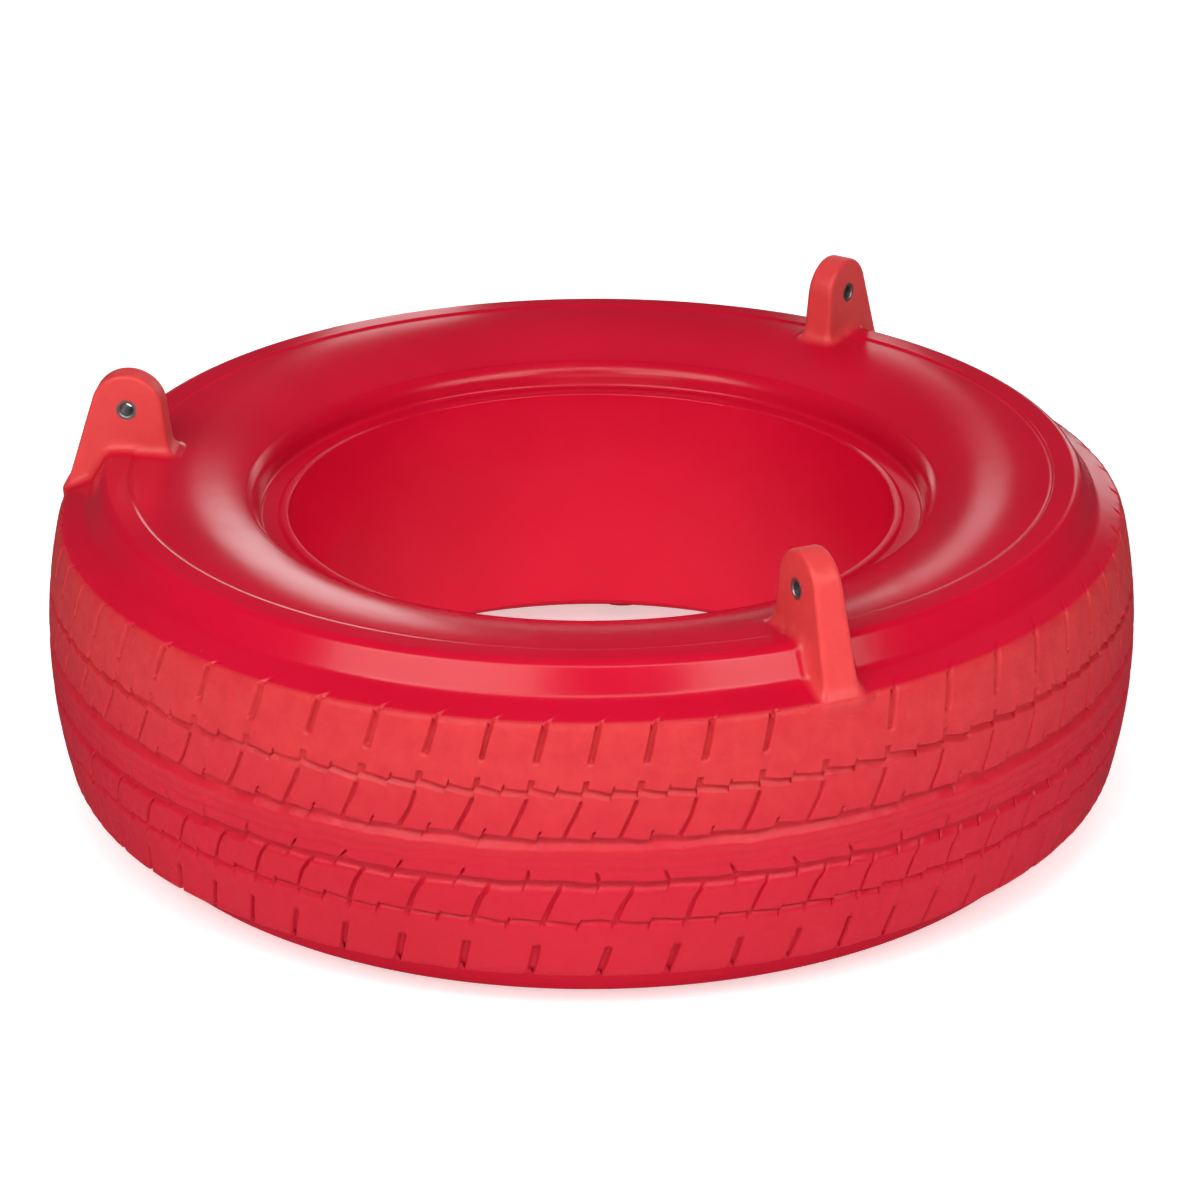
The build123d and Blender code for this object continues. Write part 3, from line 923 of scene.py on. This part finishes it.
# ---------------------------------------------------------------- floor, light, camera
FLOOR_REACH = 9.0
FLOOR_DROP = 0.0005
AIM = (0.0, 0.0, 0.15)

# The light into the hole stands this high, and its beam has this radius where it lands
SPOT_HEIGHT = 2.5
SPOT_REACH = 0.165

# The view: a long lens, from this place, turned off +Y and down by these angles
CAMERA_PLACE = (0.1921, -2.1952, 1.0793)
CAMERA_YAW = -0.0849664626
CAMERA_PITCH = 0.4149
CAMERA_ROLL = -0.0035
CAMERA_LENS = 117.81
CAMERA_SENSOR = 36.0


def floor():
    """Plain pale floor, just under the seat."""
    turns = ((-1, -1), (1, -1), (1, 1), (-1, 1))
    corners = [(x * FLOOR_REACH, y * FLOOR_REACH, -FLOOR_DROP) for x, y in turns]
    mesh = bpy.data.meshes.new("floor")
    mesh.from_pydata(corners, [], [(0, 1, 2, 3)])
    ob = bpy.data.objects.new("floor", mesh)
    bpy.context.scene.collection.objects.link(ob)
    dress(ob, floor_material())
    ob.visible_glossy = False


def softbox(name, direction, size, watts, diffuse=True, glossy=True):
    """Soft rectangular light, placed by azimuth, elevation and distance, and aimed at the tyre."""
    azimuth, elevation, distance = direction
    a, e = math.radians(azimuth), math.radians(elevation)
    away = Vector((math.cos(a) * math.cos(e), math.sin(a) * math.cos(e), math.sin(e)))
    light = bpy.data.lights.new(name, "AREA")
    light.shape = "RECTANGLE"
    light.size, light.size_y = size
    light.energy = watts
    ob = bpy.data.objects.new(name, light)
    ob.location = Vector(AIM) + distance * away
    ob.rotation_euler = (-away).to_track_quat("-Z", "Y").to_euler()
    ob.visible_camera = False
    ob.visible_diffuse = diffuse
    ob.visible_glossy = glossy
    bpy.context.scene.collection.objects.link(ob)


def into_hole(watts):
    """Narrow light from straight above, for the floor seen through the tyre's hole."""
    light = bpy.data.lights.new("into_hole", "SPOT")
    light.energy = watts
    light.spot_size = 2 * math.atan(SPOT_REACH / SPOT_HEIGHT)
    light.spot_blend = 0.3
    light.shadow_soft_size = 0.05
    ob = bpy.data.objects.new("into_hole", light)
    ob.location = (0, 0, SPOT_HEIGHT)
    ob.visible_glossy = False
    bpy.context.scene.collection.objects.link(ob)


def studio():
    """Soft keys from the front, a broad fill and backdrop, and panels seen only as highlights."""
    world = bpy.data.worlds.new("studio")
    bpy.context.scene.world = world
    world.use_nodes = True
    background = world.node_tree.nodes["Background"]
    background.inputs["Color"].default_value = WHITE
    background.inputs["Strength"].default_value = 0.06
    softbox("key_left", (-121, 35, 2.3), (1.7, 0.75), 20)
    softbox("key_right", (-43, 35, 2.3), (1.4, 0.75), 16)
    softbox("front", (-92, 15, 3.2), (2.6, 0.8), 9)
    softbox("grooves", (-92, 53, 2.5), (3.4, 0.6), 26)
    softbox("side_right", (69, 13, 2.6), (0.45, 0.90), 1.6, diffuse=False)
    softbox("crescent_left", (105.5, 12.8, 0.9), (0.11, 0.28), 0.19, diffuse=False)
    softbox("crescent_right", (80.5, 20.0, 0.92), (0.09, 0.13), 0.06, diffuse=False)
    softbox("horizon", (90, 1, 3.0), (2.6, 0.14), 3, diffuse=False)
    softbox("fill", (-90, 80, 2.8), (2.4, 2.0), 12, glossy=False)
    softbox("backdrop", (90, 48, 4.4), (5.0, 2.4), 60, glossy=False)
    into_hole(200)


def camera():
    """Camera in front of the seat, looking 24 degrees down on it."""
    yaw, pitch, roll = CAMERA_YAW, CAMERA_PITCH, CAMERA_ROLL
    level = math.cos(pitch)
    look = Vector((math.sin(yaw) * level, math.cos(yaw) * level, -math.sin(pitch)))
    right = look.cross(Vector((0, 0, 1))).normalized()
    up = right.cross(look)
    right, up = (
        math.cos(roll) * right + math.sin(roll) * up,
        -math.sin(roll) * right + math.cos(roll) * up,
    )
    turn = Matrix((right, up, -look)).transposed().to_4x4()
    data = bpy.data.cameras.new("camera")
    data.sensor_width = CAMERA_SENSOR
    data.lens = CAMERA_LENS
    ob = bpy.data.objects.new("camera", data)
    ob.matrix_world = Matrix.Translation(CAMERA_PLACE) @ turn
    bpy.context.scene.collection.objects.link(ob)
    bpy.context.scene.camera = ob


floor()
studio()
camera()
bpy.context.scene.view_settings.view_transform = "Standard"
